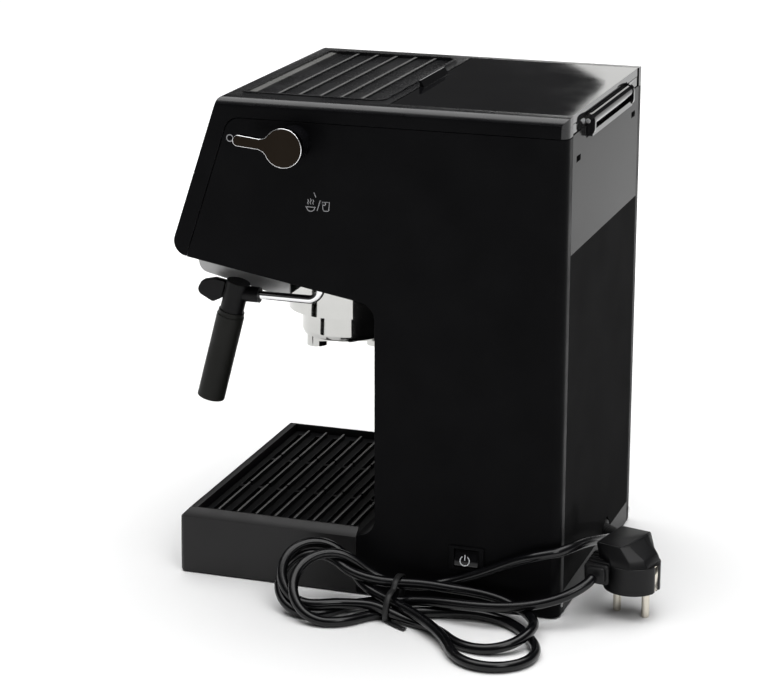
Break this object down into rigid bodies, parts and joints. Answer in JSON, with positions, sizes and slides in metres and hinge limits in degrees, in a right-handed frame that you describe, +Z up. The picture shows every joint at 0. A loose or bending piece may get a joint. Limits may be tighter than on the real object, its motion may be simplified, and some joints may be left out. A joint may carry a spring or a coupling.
{
  "type": "pump espresso machine",
  "caption": "Tall narrow pump espresso machine with overhanging head, lift-out rear water tank under a hinged lid, slide-out drip tray, steam lever and swivelling frothing wand.",
  "frame": {"origin": "on the table, under the middle of the machine's own box, its mains lead and plug left out", "axes": "+Z up; the machine faces -Y; its steam lever and power switch are on +X"},
  "size_m": [0.3379, 0.3004, 0.3083],
  "materials": {
    "satin_black": "satin",
    "gloss_black": "gloss",
    "soft_black": "matte",
    "tube_black": "matte",
    "rubber": "matte",
    "cord_black": "satin",
    "pin_metal": "nickel plated",
    "chrome": "polished",
    "steel": "brushed",
    "silver_plastic": "satin silver",
    "aluminium": "cast",
    "brass": "plain",
    "copper": "copper",
    "pump_plastic": "matte",
    "hose": "satin",
    "tank_clear": "translucent grey",
    "valve_red": "satin",
    "lamp": "gloss"
  },
  "bodies": {
    "root": {"base_plate": "soft_black", "rubber_feet": "rubber", "side_panel_right": "satin_black", "side_panel_left": "satin_black", "top_shell": "satin_black", "rear_panel": "gloss_black", "column_front": "satin_black", "head_floor": "satin_black", "head_shroud": "chrome", "control_panel": "silver_plastic", "cup_tray": "satin_black", "tank_bay": "soft_black", "group_ring": "steel", "group_gasket": "rubber", "shower_screen": "steel", "boiler_lower": "aluminium", "boiler_upper": "aluminium", "boiler_bolts": "steel", "heater_terminals": "steel", "thermostats": "steel", "pump": "pump_plastic", "pump_mounts": "soft_black", "supply_hose": "hose", "boiler_hose": "hose", "valve_socket": "hose", "steam_valve": "brass", "steam_pipe": "copper", "wand_nut": "steel", "indicator_lamps": "lamp", "switch_bezel": "gloss_black", "cord_gland": "rubber", "panel_screws": "steel", "cord_lead": "cord_black", "cord_hank": "cord_black", "cord_tie": "cord_black", "cord_tail": "cord_black", "plug_body": "cord_black", "plug_pins": "pin_metal"},
    "lever": {"steam_lever": "chrome", "lever_boss": "gloss_black"},
    "rocker": {"power_rocker": "gloss_black"},
    "coffee_key": {"coffee_button": "soft_black"},
    "steam_key": {"steam_button": "soft_black"},
    "tank": {"water_tank": "tank_clear", "tank_valve": "valve_red", "lid_pin": "steel", "tank_handle": "soft_black"},
    "lid": {"tank_lid": "gloss_black"},
    "tray": {"drip_tray": "satin_black"},
    "grille": {"drip_grille": "soft_black"},
    "filter_holder": {"holder_body": "chrome", "holder_handle": "soft_black", "holder_spouts": "chrome", "filter_basket": "steel"},
    "tab": {"thumb_tab": "soft_black"},
    "wand": {"wand_pipe": "chrome", "wand_hub": "soft_black", "wand_tube": "tube_black"},
    "selector": {"wand_selector": "soft_black"}
  },
  "joints": [
    {"name": "steam_lever_turn", "type": "hinge", "parent": "root", "child": "lever", "pos_m": [0.11998, -0.04485, 0.2803], "axis": [1, 0, 0], "range_deg": [0, 120]},
    {"name": "power_rocker", "type": "hinge", "parent": "root", "child": "rocker", "pos_m": [0.11148, 0.06255, 0.0327], "axis": [0, 1, 0], "range_deg": [0, 14]},
    {"name": "coffee_button_press", "type": "slide", "parent": "root", "child": "coffee_key", "axis": [0, 0.9485, -0.3168], "range_m": [0, 0.0025], "stiffness_N_per_m": 400, "springref_m": -0.002},
    {"name": "steam_button_press", "type": "slide", "parent": "root", "child": "steam_key", "axis": [0, 0.9485, -0.3168], "range_m": [0, 0.0025], "stiffness_N_per_m": 400, "springref_m": -0.002},
    {"name": "tank_lift", "type": "slide", "parent": "root", "child": "tank", "axis": [0, 0, 1], "range_m": [0, 0.16]},
    {"name": "tank_lid", "type": "hinge", "parent": "tank", "child": "lid", "pos_m": [0.01998, 0.12055, 0.2954], "axis": [-1, 0, 0], "range_deg": [0, 100]},
    {"name": "drip_tray_slide", "type": "slide", "parent": "root", "child": "tray", "axis": [0, -1, 0], "range_m": [0, 0.12]},
    {"name": "grille_lift", "type": "slide", "parent": "tray", "child": "grille", "axis": [0, 0, 1], "range_m": [0, 0.04]},
    {"name": "filter_holder_turn", "type": "hinge", "parent": "root", "child": "filter_holder", "pos_m": [0.01998, -0.04595, 0.15], "axis": [0, 0, 1], "range_deg": [0, 75]},
    {"name": "thumb_tab_flip", "type": "hinge", "parent": "filter_holder", "child": "tab", "pos_m": [-0.01926, -0.05946, 0.1572], "axis": [-0.3256, 0.9455, 0], "range_deg": [0, 80]},
    {"name": "wand_swivel", "type": "hinge", "parent": "root", "child": "wand", "pos_m": [0.09598, -0.03545, 0.19], "axis": [0, 0, 1], "range_deg": [0, 60]},
    {"name": "selector_turn", "type": "hinge", "parent": "wand", "child": "selector", "pos_m": [0.09598, -0.09078, 0.17946], "axis": [0, 0.9673, -0.2538], "range_deg": [-45, 45]}
  ]
}
